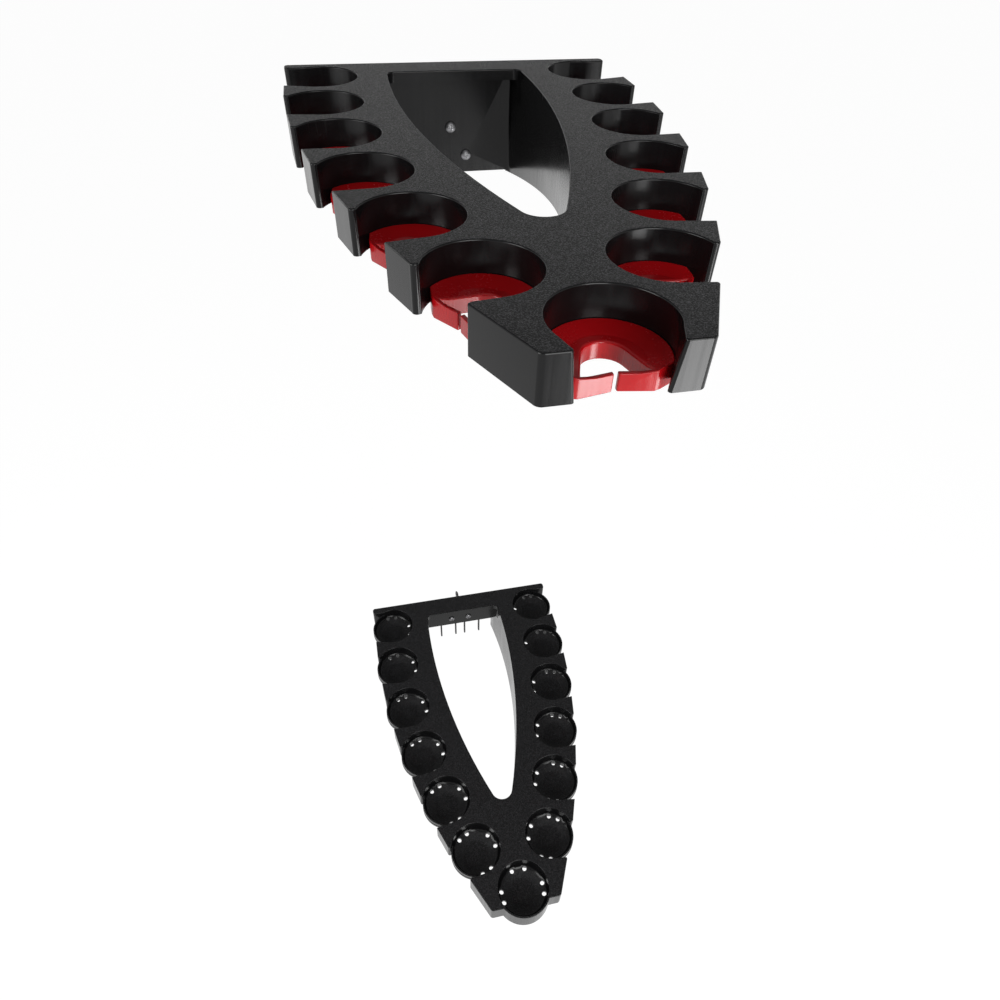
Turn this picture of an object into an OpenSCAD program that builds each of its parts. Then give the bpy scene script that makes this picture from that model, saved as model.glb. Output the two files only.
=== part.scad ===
// Wall rack for thirteen fishing rods: an open upper holder with soft slit inserts
// and, on the same plan further down the wall, a lower holder with a cup for each rod butt.
// Units are millimetres. +Z is up, the wall is the plane Y = 0 and the rack reaches
// forward along -Y. The origin is the middle of the upper holder's screw triangle.

/* [Layout] */
// height of the upper holder's top face above the origin
upper_top = 58; // [40:1:80]
// distance from the upper top face down to the lower top face
holder_gap = 645; // [400:5:900]

/* [Holder body] */
// half of the width across the rear corners
half_width = 119.6; // [116:0.2:124]
// height of the moulded plate
plate_height = 23; // [18:0.5:30]
// thickness of the top skin
skin = 3; // [2:0.2:5]
// thickness of the walls below the skin
wall = 2.6; // [1.8:0.2:4]
// thickness of the ribs below the skin
rib_thickness = 2; // [1.2:0.2:3]
// height of the ribs below the skin
rib_height = 14; // [6:1:18]
// depth of the square ends behind the first pockets
rear_lip = 9; // [7:0.5:12]
// rounding of the rear corners
rear_rounding = 3; // [1:0.5:4]

/* [Pocket chain] */
// radius of every pocket
pocket_radius = 26; // [22:0.5:27]
// distance between neighbouring pocket centres
pitch = 61.5; // [58:0.5:66]
// first pocket centre to the side of the rack's middle
first_x = 95.7; // [90:0.5:98]
// first pocket centre in front of the wall
first_y = 32.7; // [32:0.2:36]
// lean of the first tooth towards the middle, in degrees
lean_start = -0.2; // [-2:0.1:2]
// further lean of each next tooth, in degrees
lean_step = 5.35; // [4.6:0.05:5.8]
// distance of the tooth faces outside the line of centres
face_out = 24; // [21:0.5:26]
// length of each tooth face
face_length = 25; // [18:0.5:27]
// shift of each tooth face towards the front
face_shift = 2.7; // [0:0.1:4]
// radius of the rounded hook at each tooth's front end
hook_radius = 2.2; // [1.2:0.1:3]
// how far each hook stands proud of its tooth face
hook_proud = 0.1; // [0.05:0.05:0.4]
// length of the long faces beside the front pocket
jaw_length = 44; // [38:0.5:46]
// lean of those long faces, in degrees
jaw_lean = 26; // [23:0.5:30]
// distance from the front pocket's centre to the front face
jaw_reach = 20.6; // [18:0.2:25]
// the same distance on the lower holder
lower_jaw_reach = 15; // [12:0.5:20]
// half of the width of the front face
jaw_half = 33; // [31:0.1:34.5]
// rounding of the front face's outer corners
jaw_rounding = 4; // [1:0.5:6]
// rounding of the corners beside the front mouth and behind the long faces
tip_rounding = 1.5; // [0.5:0.1:2.5]
// half of the width of the front pocket's mouth
mouth_half = 20.5; // [16:0.5:23]

/* [Window and wall bracket] */
// distance of the window sides inside the line of centres
window_in = 47; // [42:0.5:52]
// distance of the window's rear edge from the wall
window_rear = 26; // [20:0.5:34]
// radius of the window's front end
nose_radius = 11.5; // [8:0.5:16]
// rounding of the window's rear corners
window_rounding = 5; // [2:0.5:8]
// thickness of the side webs round the window
web = 3; // [2:0.2:5]
// depth of the side webs at the wall, from the top face
web_depth = 80; // [60:1:100]
// thickness of the panel against the wall
panel_thickness = 4; // [3:0.5:6]
// height of the upper panel, from the top face
upper_panel = 78; // [76:1:90]
// height of the lower panel, from the top face
lower_panel = 58; // [54:1:70]
// depth of the lip at the window's rear edge, from the top face
bridge_lip = 7; // [4:0.5:12]
// depth of the fins below the lower panel, from the top face
fin_depth = 84; // [70:1:90]
// distances of the fins from the rack's middle
fin_places = [6.5, 27.5]; // [4:0.5:40]

/* [Inserts] */
// gap between an insert and its pocket wall
insert_gap = 0.1; // [0.05:0.05:0.4]
// depth of the insert's rim below the top face
rim_depth = 15.5; // [12:0.5:18]
// further depth of the dish at its middle
dish_drop = 2.6; // [1:0.2:4]
// distance of the insert's flange outside the pocket wall
flange_out = 2.4; // [1.5:0.1:2.6]
// thickness of the flange under the plate
flange_height = 3; // [2:0.5:5]
// radius of the rounded inner end of the hole
hole_radius = 9.5; // [7:0.5:12]
// distance from the pocket centre to the lips at the slit
lip_reach = 12; // [10:0.5:14]
// further reach of the lips at their outer ends
lip_flare = 2.6; // [0:0.2:4]
// half of the length across the two lips
lip_half = 15.5; // [12:0.5:17]
// thickness of the lips
lip_thickness = 2.3; // [1.5:0.1:4]
// width of the slit between the lips
slit_width = 2; // [0.6:0.1:3]

/* [Cups] */
// depth of the cup floor's edge below the top face
cup_edge = 11; // [8:0.5:14]
// depth of the cup floor's flat middle below the top face
cup_depth = 17; // [14:0.5:20]
// radius of the cup floor's flat middle
cup_flat = 11; // [6:0.5:16]
// thickness of the cup floor
cup_floor = 3; // [2:0.2:4]
// depth of the lips across the side cups' mouths below the top face
cup_rim = 5.5; // [4:0.5:8]
// thickness of those lips
rim_wall = 1.6; // [1.2:0.1:1.8]
// angles that those lips span to the front and to the rear of the mouth's middle
rim_span = [80, 48]; // [44:1:84]
// the angle to the rear in the first pockets
first_rim_span = 66; // [62:1:80]
// radius of the drain holes
drain_radius = 2.2; // [1:0.1:3]
// distance of the drain holes from the cup's middle
drain_ring = 22; // [18:0.5:23]
// places of the drain holes on each side, in degrees from the mouth's middle
drain_angles = [73, 100, 162]; // [60:1:175]
// thickness of the wall round the front cup
front_cup_wall = 2; // [1.6:0.2:6]

/* [Screws] */
// radius of the circle through the three screws
screw_circle = 14; // [12:0.5:18]
// depth of the upper screw circle's middle below the top face
upper_screw_depth = 58; // [50:1:62]
// depth of the lower screw circle's middle below the top face
lower_screw_depth = 38; // [30:1:42]
// radius of the screw shanks
shank_radius = 2.2; // [1.6:0.1:2.6]
// how much thinner each shank is inside the panel
neck_step = 0.2; // [0.1:0.05:0.5]
// depth of the thread grooves in the shanks
thread_depth = 0.5; // [0.2:0.05:0.7]
// plain length of each shank behind the panel
thread_start = 2; // [1:0.5:6]
// length of each screw's point
point_length = 4; // [3:0.5:8]
// distance between thread grooves
thread_pitch = 2; // [1.5:0.1:3]
// gap between a shank and its hole
hole_gap = 0.3; // [0.1:0.05:0.6]
// radius of the screw heads
head_radius = 4; // [3.2:0.1:5]
// width of the cross slots in the heads
slot_width = 1; // [0.6:0.1:1.4]
// depth of the cross slots
slot_depth = 1.4; // [0.8:0.1:1.8]
// height of the screw heads
head_height = 2.7; // [2:0.1:4]
// length of the screws behind the panel
screw_reach = 28; // [15:1:40]

/* [Hidden] */
$fn = 96;
// side pockets in each row
row_count = 6;
// reach of cutting shapes past what they cut
past = 12;
// how far discs cross the edges that run into them
seam = 0.05;
// how far the cup floors run into the walls round them
floor_overlap = 0.4;

// The chain on the right side, seen from the front. Pocket 1 is at the wall.
function lean(i) = lean_start + lean_step * (i - 1);
function side_way(a) = [cos(a), -sin(a)];
function front_way(a) = [-sin(a), -cos(a)];
function pocket(i) = i == 1 ? [first_x, -first_y] : pocket(i - 1) + pitch * front_way(lean(i - 1));
function front_pocket() = [0, pocket(row_count)[1] - sqrt(pow(pitch, 2) - pow(pocket(row_count)[0], 2))];
function front_face(reach) = front_pocket()[1] - reach;

// Tooth i lies between pocket i and pocket i + 1. Each has a rear and a front corner.
function face_middle(i) = (pocket(i) + pocket(i + 1)) / 2
    + face_out * side_way(lean(i)) + face_shift * front_way(lean(i));
function mouth_tip() = [mouth_half, front_face(jaw_reach)];
function mouth_inner() = front_pocket()
    + [sqrt(pow(pocket_radius - seam, 2) - pow(jaw_reach / 2, 2)), -jaw_reach / 2];
function jaw_front(reach) = [jaw_half + (jaw_reach - reach) * tan(jaw_lean), front_face(reach)];
function tooth_rear(i) = i == row_count
    ? jaw_front(jaw_reach) - jaw_length * front_way(jaw_lean)
    : face_middle(i) - face_length / 2 * front_way(lean(i));
function tooth_front(i) = face_middle(i) + (face_length / 2 - hook_radius) * front_way(lean(i));
// corner on the rear side of pocket i's mouth
function mouth_rear(i) = i == 1 ? [half_width, -rear_lip] : tooth_front(i - 1);
function mouth_rear_in(i) = i == 1 ? [pocket(1)[0], -rear_lip] : pocket(i);
function mouth_lean(i) = i == 1 ? 0 : lean(i - 1);
// way in which pocket i opens, in degrees from +X
function mouth_angle(i) = let (m = (mouth_rear(i) + tooth_rear(i)) / 2 - pocket(i)) atan2(m[1], m[0]);

// point where a line from corner k touches the front side of the circle round c
function touch_angle(c, k, r) = let (v = k - c) atan2(v[1], v[0]) - acos(r / norm(v));
function touch_point(c, k, r) = c + r * [cos(touch_angle(c, k, r)), sin(touch_angle(c, k, r))];

// The pocket centres lie on an arc, and the window sides are arcs round the same middle.
arc_radius = pitch / 2 / sin(lean_step / 2);
arc_lean = lean_start - lean_step / 2;
arc_middle = pocket(1) - arc_radius * side_way(arc_lean);
window_arc = arc_radius - window_in;
nose_y = arc_middle[1] - sqrt(pow(window_arc - nose_radius, 2) - pow(arc_middle[0], 2));
function nose_touch(g) = arc_middle[1]
    + (nose_y - arc_middle[1]) * (window_arc + g) / (window_arc - nose_radius);

module both_sides() {
    children();
    mirror([1, 0]) children();
}

module disc_at(p, r) {
    translate(p) circle(r = r);
}

// outline of the plate before pockets are cut, moved in by g
module plate_outline(reach, g = 0) {
    right = concat([[half_width - g, -g], [half_width - g, -rear_lip]],
        [for (i = [1:row_count - 1]) each [
            tooth_rear(i) - g * side_way(lean(i)),
            tooth_front(i) - g * side_way(lean(i))]],
        [tooth_rear(row_count) - g * side_way(jaw_lean),
         jaw_front(reach) - g * side_way(jaw_lean) + [0, g]]);
    left = [for (i = [len(right) - 1:-1:0]) [-right[i][0], right[i][1]]];
    polygon(concat(right, left));
}

// mouth of side pocket i, widened by g on both sides
module side_mouth(i, g = 0) {
    a = mouth_lean(i);
    b = i == row_count ? jaw_lean : lean(i);
    rear_g = g == 0 ? 0 : (i == 1 ? g : g + 2 * hook_radius);
    c = pocket(i);
    k = tooth_rear(i);
    t = touch_angle(c, k, pocket_radius - seam);
    k_out = k + g * [cos(t), sin(t)];
    rear_in = mouth_rear_in(i) - rear_g * front_way(a);
    rear = mouth_rear(i) - rear_g * front_way(a);
    inner = g == 0 && i > 1 ? [] : [c];
    polygon(concat([rear_in, rear, rear + past * side_way(a), k_out + past * side_way(b), k_out,
        touch_point(c, k, min(pocket_radius + g, 0.97 * norm(k - c)) - seam)], inner));
}

// mouth of the front pocket, widened by g
module front_mouth(g = 0) {
    out = [g, 0];
    right = [mouth_inner() + out, mouth_tip() + out, mouth_tip() + out - [0, past]];
    left = [for (i = [2:-1:0]) [-right[i][0], right[i][1]]];
    polygon(concat(right, left, [front_pocket()]));
}

module pockets(g = 0) {
    both_sides() for (i = [1:row_count]) disc_at(pocket(i), pocket_radius + g);
    disc_at(front_pocket(), pocket_radius + g);
}

module mouths(g = 0, front = true) {
    both_sides() for (i = [1:row_count]) side_mouth(i, g);
    if (front) front_mouth(g);
}

module hooks() {
    both_sides() for (i = [1:row_count - 1])
        disc_at(tooth_front(i) - (hook_radius - hook_proud) * side_way(lean(i)), hook_radius);
}

// space between the two window arcs, from the wall to the nose, widened by g
module window_space(g = 0) {
    intersection() {
        translate(arc_middle) circle(r = window_arc + g, $fn = 360);
        mirror([1, 0]) translate(arc_middle) circle(r = window_arc + g, $fn = 360);
        translate([-half_width, nose_touch(g)]) square([2 * half_width, -nose_touch(g)]);
    }
    translate([0, nose_y]) circle(r = nose_radius + g);
}

module window() {
    rear_half = arc_middle[0] + sqrt(pow(window_arc, 2) - pow(window_rear + arc_middle[1], 2));
    difference() {
        intersection() {
            window_space();
            translate([-half_width, front_face(jaw_reach)])
                square([2 * half_width, -front_face(jaw_reach) - window_rear]);
        }
        both_sides() difference() {
            translate([rear_half - window_rounding, -window_rear - window_rounding])
                square(2 * window_rounding);
            disc_at([rear_half - window_rounding, -window_rear - window_rounding], window_rounding);
        }
    }
}

// what rounds the two corners of a square end behind the first pocket
module rear_corners() {
    r = rear_rounding;
    difference() {
        translate([half_width - r, -r]) square(2 * r);
        disc_at([half_width - r, -r], r);
    }
    difference() {
        translate([half_width - r, -rear_lip - r]) square([2 * r, 2 * r]);
        disc_at([half_width - r, -rear_lip + r], r);
    }
}

// what rounds the corner at k between edges that leave it along a and b
module round_off(k, a, b, r) {
    middle = (a + b) / norm(a + b);
    half = acos(a * b) / 2;
    centre = k + middle * r / sin(half);
    difference() {
        polygon([k - middle, k + a * r / tan(half), centre, k + b * r / tan(half)]);
        disc_at(centre, r + seam);
    }
}

module jaw_corners(closed_front, reach) {
    k = jaw_front(reach);
    back = -front_way(jaw_lean);
    rear = tooth_rear(row_count);
    round_off(k, back, [-1, 0], jaw_rounding);
    inward = touch_point(pocket(row_count), rear, pocket_radius - seam) - rear;
    round_off(rear, -back, inward / norm(inward), tip_rounding);
    side = mouth_inner() - mouth_tip();
    if (!closed_front) round_off(mouth_tip(), [1, 0], side / norm(side), tip_rounding);
}

// plan of the plate. With closed_front the front pocket keeps its wall.
module plate_plan(closed_front, reach) {
    difference() {
        union() {
            difference() {
                plate_outline(reach);
                mouths(0, !closed_front);
                both_sides() rear_corners();
                both_sides() jaw_corners(closed_front, reach);
            }
            hooks();
            if (closed_front) disc_at(front_pocket(), pocket_radius + front_cup_wall);
        }
        pockets();
        window();
    }
}

// plan of the hollow under the top skin
module hollow_plan(reach) {
    difference() {
        plate_outline(reach, wall);
        pockets(wall);
        mouths(wall);
        window_space(web);
        both_sides() translate([half_width - rear_lip, -rear_lip]) square(rear_lip);
    }
    intersection() {
        window_space();
        translate([-half_width, -window_rear + wall])
            square([2 * half_width, window_rear - wall - panel_thickness]);
    }
}

module rib_plan() {
    both_sides() for (i = [1:row_count]) {
        a = i == row_count ? jaw_lean : lean(i);
        next = i == row_count ? front_pocket() : pocket(i + 1);
        translate((pocket(i) + next) / 2) rotate(-a)
            translate([-window_in + web, -rib_thickness / 2])
            square([window_in + face_out - web - wall / 2, rib_thickness]);
    }
    both_sides() for (i = [1:row_count])
        translate(pocket(i)) rotate(-lean(i) + lean_step / 2)
            translate([-window_in, -rib_thickness / 2])
            square([window_in - pocket_radius, rib_thickness]);
    translate([-rib_thickness / 2, front_pocket()[1]])
        square([rib_thickness, nose_y - front_pocket()[1]]);
    both_sides() translate([first_x * 3 / 4, -first_y]) square([rib_thickness, first_y]);
}

// side webs round the window: deep at the wall, ending at the plate under the nose
module webs() {
    nose_end = nose_y - nose_radius - web;
    difference() {
        translate([0, 0, -web_depth]) linear_extrude(web_depth) difference() {
            window_space(web);
            window_space();
        }
        rotate([90, 0, 90]) translate([0, 0, -half_width]) linear_extrude(2 * half_width)
            polygon([[past, -web_depth], [0, -web_depth], [nose_end, -plate_height],
                [nose_end - past, -plate_height], [nose_end - past, -web_depth - past],
                [past, -web_depth - past]]);
    }
}

module screw_places(depth) {
    for (a = [0:120:240])
        translate([screw_circle * sin(a), 0, -depth + screw_circle * cos(a)])
            children();
}

// panel against the wall
module panel(height) {
    half = arc_middle[0] + sqrt(pow(window_arc, 2) - pow(arc_middle[1], 2)) + web / 2;
    translate([-half, -panel_thickness, -height]) cube([2 * half, panel_thickness, height]);
}

module screw_holes(depth) {
    screw_places(depth) rotate([90, 0, 0])
        translate([0, 0, -past]) cylinder(r = shank_radius + hole_gap, h = 2 * past, $fn = 48);
}

module fins() {
    for (s = [-1, 1], x = fin_places)
        translate([s * x - rib_thickness / 2, -panel_thickness, -fin_depth])
            cube([rib_thickness, panel_thickness, fin_depth - skin]);
}

// what leaves only a low lip at the window's rear edge
module bridge_cut() {
    translate([0, 0, -plate_height - past]) linear_extrude(plate_height + past - bridge_lip)
        intersection() {
            window_space();
            translate([-half_width, -window_rear - wall]) square([2 * half_width, 3 * wall]);
        }
}

module plate(closed_front, reach) {
    difference() {
        union() {
            translate([0, 0, -plate_height]) linear_extrude(plate_height)
                plate_plan(closed_front, reach);
            webs();
        }
        translate([0, 0, -plate_height - past])
            linear_extrude(plate_height + past - skin - rib_height) hollow_plan(reach);
        translate([0, 0, -skin - rib_height - 1]) linear_extrude(rib_height + 1) difference() {
            hollow_plan(reach);
            rib_plan();
        }
        bridge_cut();
    }
}

module holder_body(closed_front, reach, height, depth) {
    difference() {
        union() {
            plate(closed_front, reach);
            panel(height);
        }
        screw_holes(depth);
    }
}

module upper_holder() {
    color("#26272a") translate([0, 0, upper_top])
        holder_body(false, jaw_reach, upper_panel, upper_screw_depth);
}

// floor of one cup: a shallow dish with drain holes, open towards +X where the mouth is
module cup_dish() {
    r = pocket_radius + floor_overlap;
    difference() {
        rotate_extrude() polygon([[0, -cup_depth], [cup_flat, -cup_depth], [r, -cup_edge],
            [r, -cup_edge - cup_floor], [cup_flat, -cup_depth - cup_floor], [0, -cup_depth - cup_floor]]);
        for (s = [-1, 1], a = drain_angles) rotate(s * a)
            translate([drain_ring, 0, -plate_height]) cylinder(r = drain_radius, h = plate_height, $fn = 48);
    }
}

// low lip that closes a side cup's mouth, with the mouth towards +X and the front towards -Y
module cup_lip(rear_span) {
    r = pocket_radius + floor_overlap / 2;
    reach = pocket_radius + past;
    foot = cup_edge + cup_floor / 2;
    translate([0, 0, -foot]) linear_extrude(foot - cup_rim) intersection() {
        difference() {
            circle(r = r);
            circle(r = r - rim_wall);
        }
        polygon(concat([[0, 0]], [for (a = [-rim_span[0], -rim_span[0] / 2, 0, rear_span / 2, rear_span])
            reach * [cos(a), sin(a)]]));
    }
}

module side_cup(i) {
    translate(pocket(i)) rotate(mouth_angle(i)) {
        cup_dish();
        cup_lip(i == 1 ? first_rim_span : rim_span[1]);
    }
}

module lower_holder() {
    color("#202124") translate([0, 0, upper_top - holder_gap]) {
        holder_body(true, lower_jaw_reach, lower_panel, lower_screw_depth);
        fins();
        for (i = [1:row_count]) {
            side_cup(i);
            mirror([1, 0, 0]) side_cup(i);
        }
        translate(front_pocket()) rotate(-90) cup_dish();
    }
}

// front edge of an insert at distance v from its middle line
function lip_front(v) = lip_reach + lip_flare * abs(v) / lip_half;

// plan that keeps the insert behind its lips. The mouth is towards +X.
module insert_outline() {
    r = pocket_radius + flange_out + 1;
    polygon([[-r, -r], [-r, r], [lip_reach / 2, r], [lip_front(0) - 1, 0.89 * pocket_radius],
        [lip_front(0) + 1.6, 0.71 * pocket_radius], [lip_front(lip_half), lip_half],
        [lip_front(0), 0],
        [lip_front(lip_half), -lip_half], [lip_front(0) + 1.6, -0.71 * pocket_radius],
        [lip_front(0) - 1, -0.89 * pocket_radius], [lip_reach / 2, -r]]);
}

// hole for the rod: rounded at the wall side and widening to the lips
module insert_hole() {
    back = [-hole_radius * 0.16, 0];
    v = lip_half - 1;
    corner = [lip_front(v) - lip_thickness, v];
    turn = atan2(corner[1] - back[1], corner[0] - back[0])
        + acos(hole_radius / norm(corner - back));
    polygon(concat([for (k = [0:24]) back + hole_radius * [cos(turn + k * (360 - 2 * turn) / 24),
        sin(turn + k * (360 - 2 * turn) / 24)]],
        [[corner[0], -v], [lip_front(0) - lip_thickness, 0], [corner[0], v]]));
}

// soft insert: a dish with a flange under the plate and two lips that close the mouth
module insert() {
    r = pocket_radius - insert_gap;
    base = plate_height + flange_height;
    color("#c8101c") difference() {
        intersection() {
            rotate_extrude() polygon([[0, -rim_depth - dish_drop], [r, -rim_depth], [r, -plate_height],
                [r + insert_gap + flange_out, -plate_height], [r + insert_gap + flange_out, -base],
                [0, -base]]);
            translate([0, 0, -base - 1]) linear_extrude(base - rim_depth + 2) insert_outline();
        }
        translate([0, 0, -base - 1]) linear_extrude(base + 1) insert_hole();
        translate([lip_reach - lip_thickness - 2, -slit_width / 2, -base - 1])
            cube([lip_thickness + lip_flare + 4, slit_width, base + 1]);
    }
}

module right_insert(i) {
    translate([pocket(i)[0], pocket(i)[1], upper_top]) rotate(mouth_angle(i)) insert();
}

module left_insert(i) {
    mirror([1, 0, 0]) right_insert(i);
}

module insert_front() {
    translate([0, front_pocket()[1], upper_top]) rotate(-90) insert();
}
module insert_left_1() { left_insert(1); }
module insert_left_2() { left_insert(2); }
module insert_left_3() { left_insert(3); }
module insert_left_4() { left_insert(4); }
module insert_left_5() { left_insert(5); }
module insert_left_6() { left_insert(6); }
module insert_right_1() { right_insert(1); }
module insert_right_2() { right_insert(2); }
module insert_right_3() { right_insert(3); }
module insert_right_4() { right_insert(4); }
module insert_right_5() { right_insert(5); }
module insert_right_6() { right_insert(6); }

// screw along +Z with the head's underside at zero
module screw() {
    tip = panel_thickness + screw_reach;
    neck = shank_radius - neck_step;
    grooves = [for (z = [panel_thickness + thread_start:thread_pitch:tip - point_length - thread_pitch])
        each [[shank_radius, z], [shank_radius - thread_depth, z + thread_pitch * 0.3],
            [shank_radius, z + thread_pitch * 0.6]]];
    dome = head_height * 0.65;
    ball = (pow(head_radius, 2) + pow(dome, 2)) / (2 * dome);
    rotate_extrude($fn = 48) polygon(concat([[0, -head_height / 8], [neck, -head_height / 8],
        [neck, panel_thickness], [shank_radius, panel_thickness]], grooves,
        [[shank_radius, tip - point_length], [neck / 8, tip], [0, tip]]));
    difference() {
        intersection() {
            translate([0, 0, ball - head_height]) sphere(r = ball);
            translate([0, 0, -head_height - past]) cylinder(r = head_radius, h = head_height + past);
        }
        for (a = [0, 90]) rotate(a)
            translate([-head_radius * 0.55, -slot_width / 2, -head_height - past])
            cube([head_radius * 1.1, slot_width, past + slot_depth]);
    }
}

module screw_set(top, depth) {
    color("#c4c6c8") translate([0, -panel_thickness, top])
        screw_places(depth) rotate([-90, 0, 0]) screw();
}

module upper_screws() {
    screw_set(upper_top, upper_screw_depth);
}

module lower_screws() {
    screw_set(upper_top - holder_gap, lower_screw_depth);
}

upper_holder();
insert_front();
insert_left_1();
insert_left_2();
insert_left_3();
insert_left_4();
insert_left_5();
insert_left_6();
insert_right_1();
insert_right_2();
insert_right_3();
insert_right_4();
insert_right_5();
insert_right_6();
lower_holder();
upper_screws();
lower_screws();
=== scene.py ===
"""Looks for a wall rack that holds thirteen fishing rods upright, laid out as an add-on.

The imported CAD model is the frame: every piece here is cut from it or set on it, in metres.
"""
import math

import bmesh
import bpy
from bpy.props import FloatProperty, FloatVectorProperty, IntProperty, PointerProperty
from mathutils import Matrix, Vector


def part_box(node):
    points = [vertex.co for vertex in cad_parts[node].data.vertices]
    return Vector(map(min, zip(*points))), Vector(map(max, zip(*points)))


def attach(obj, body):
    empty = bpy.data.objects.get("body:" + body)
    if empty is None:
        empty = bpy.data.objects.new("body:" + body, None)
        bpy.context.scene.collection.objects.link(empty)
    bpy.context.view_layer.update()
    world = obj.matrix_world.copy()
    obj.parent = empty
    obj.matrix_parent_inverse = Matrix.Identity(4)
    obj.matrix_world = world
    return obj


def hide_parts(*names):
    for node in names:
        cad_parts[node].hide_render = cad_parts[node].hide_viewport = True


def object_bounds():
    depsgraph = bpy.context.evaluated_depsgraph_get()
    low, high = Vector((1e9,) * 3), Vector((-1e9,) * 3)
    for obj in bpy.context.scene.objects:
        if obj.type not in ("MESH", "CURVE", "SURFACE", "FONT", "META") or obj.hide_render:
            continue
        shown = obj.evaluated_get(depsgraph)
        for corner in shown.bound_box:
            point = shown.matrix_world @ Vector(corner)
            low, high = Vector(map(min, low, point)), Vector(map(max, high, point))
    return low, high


bl_info = {
    "name": "Rod Rack",
    "version": (1, 0, 0),
    "blender": (4, 5, 0),
    "location": "3D View > Sidebar > Rod Rack",
    "description": "Dresses a wall rack for fishing rods: two moulded holders, soft inserts and screws",
    "category": "Object",
}

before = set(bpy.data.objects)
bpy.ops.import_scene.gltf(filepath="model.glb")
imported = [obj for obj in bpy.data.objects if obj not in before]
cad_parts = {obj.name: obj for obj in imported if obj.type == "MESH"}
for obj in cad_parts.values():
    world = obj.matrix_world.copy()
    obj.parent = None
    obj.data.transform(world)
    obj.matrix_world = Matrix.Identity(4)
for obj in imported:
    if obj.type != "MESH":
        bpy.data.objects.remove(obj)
CAD_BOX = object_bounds()
UPPER_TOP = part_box("upper_holder")[1].z
LOWER_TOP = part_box("lower_holder")[1].z
INSERT_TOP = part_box("insert_front")[1].z

# Numbers that several pieces share. Lengths are in metres.
WHITE = (1.0, 1.0, 1.0, 1.0)
NOISE_RANGE = (0.3, 0.7)  # where most of a noise's values lie
WELD = 2e-6               # vertices nearer to each other than this are one
ON_FACE = 2e-5            # a vertex nearer to a face than this lies on it

# The frame's upper holder, round its front mouth.
MOUTH_HALF = 0.0265       # half the width that takes in both sides of the mouth
MOUTH_DEPTH = 0.0105      # how far back from the front they reach
PLATE_DEPTH = 0.023       # height of the plate's outer wall

# The frame's insert, from its pocket's middle at the height of the holder's top, with its mouth along X.
CONE_DROP = 0.0026        # fall of its dish, which is a cone, from the rim to the middle
CLEAR_DEPTH = 0.0035      # what lies this far under the dish doesn't follow it down
CONE_EDGES = 24           # at least this many edges run down the dish
HOLE_AHEAD = 0.009        # the hole's upper edge lies behind this X,
HOLE_REACH = 0.016        # within this radius
HOLE_LOW = -0.0225        # and above this Z

# The frame's screw heads, from the middle of their face, and what the tree adds to them.
ONE_SCREW = 0.85          # this share of the circle's radius, down from the top, takes in one screw
HEAD_DEPTH = 0.0033       # the whole head lies within this depth
HEAD_RIM = 0.0034         # its edges outside this radius are the rim's
HEAD_FACE = 0.0008        # its edges within this depth are the recess's
OVERLAP = 1e-4            # how far each part of a screw runs into the next
ROUND_STEPS = 24          # sides of the shank and the point, and steps in a turn of the thread
POINT_TIP = 0.1           # radius of the very tip, as a share of the core's
THREADED_POINT = 0.75     # share of the point that is threaded
THREAD_TAPER = 0.25       # radius where the thread ends, as a share of the core's

# The stage.
FLOOR_HALF = 40.0         # half the floor's width
FLOOR_GLOW = 1.12         # strength of the white that the floor shows as background
FLOOR_GLOW_SHARE = 0.86   # share of that white in what is seen, the rest being lit paint with its shadow
SENSOR_WIDTH = 36.0       # width of the camera's sensor in millimetres


# ---------------------------------------------------------------- settings

class HolderSettings(bpy.types.PropertyGroup):
    """Sizes and finish of the two moulded holders."""
    edge_rounding: FloatProperty(
        name="Edge rounding", description="Radius on the edges of the top face",
        default=0.0007, min=0.0, max=0.0012, unit="LENGTH")
    edge_steps: IntProperty(
        name="Edge steps", description="Segments across each rounded edge", default=3, min=1, max=4)
    colour: FloatVectorProperty(
        name="Plastic colour", description="Colour of the black plastic", subtype="COLOR",
        default=(0.0045, 0.0045, 0.0048), min=0.0, max=1.0)
    stipple_size: FloatProperty(
        name="Stipple size", description="Distance between the grains moulded in the top faces",
        default=0.0006, min=0.0002, max=0.004, unit="LENGTH")
    stipple_depth: FloatProperty(
        name="Stipple depth", description="Height of the grains", default=0.00022, min=0.0, max=0.0008,
        unit="LENGTH")
    mouth_draft: FloatProperty(
        name="Mouth draft", description="How far the front mouth's sides lean in at their lower edge",
        default=0.0024, min=0.0, max=0.003, unit="LENGTH")


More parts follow.
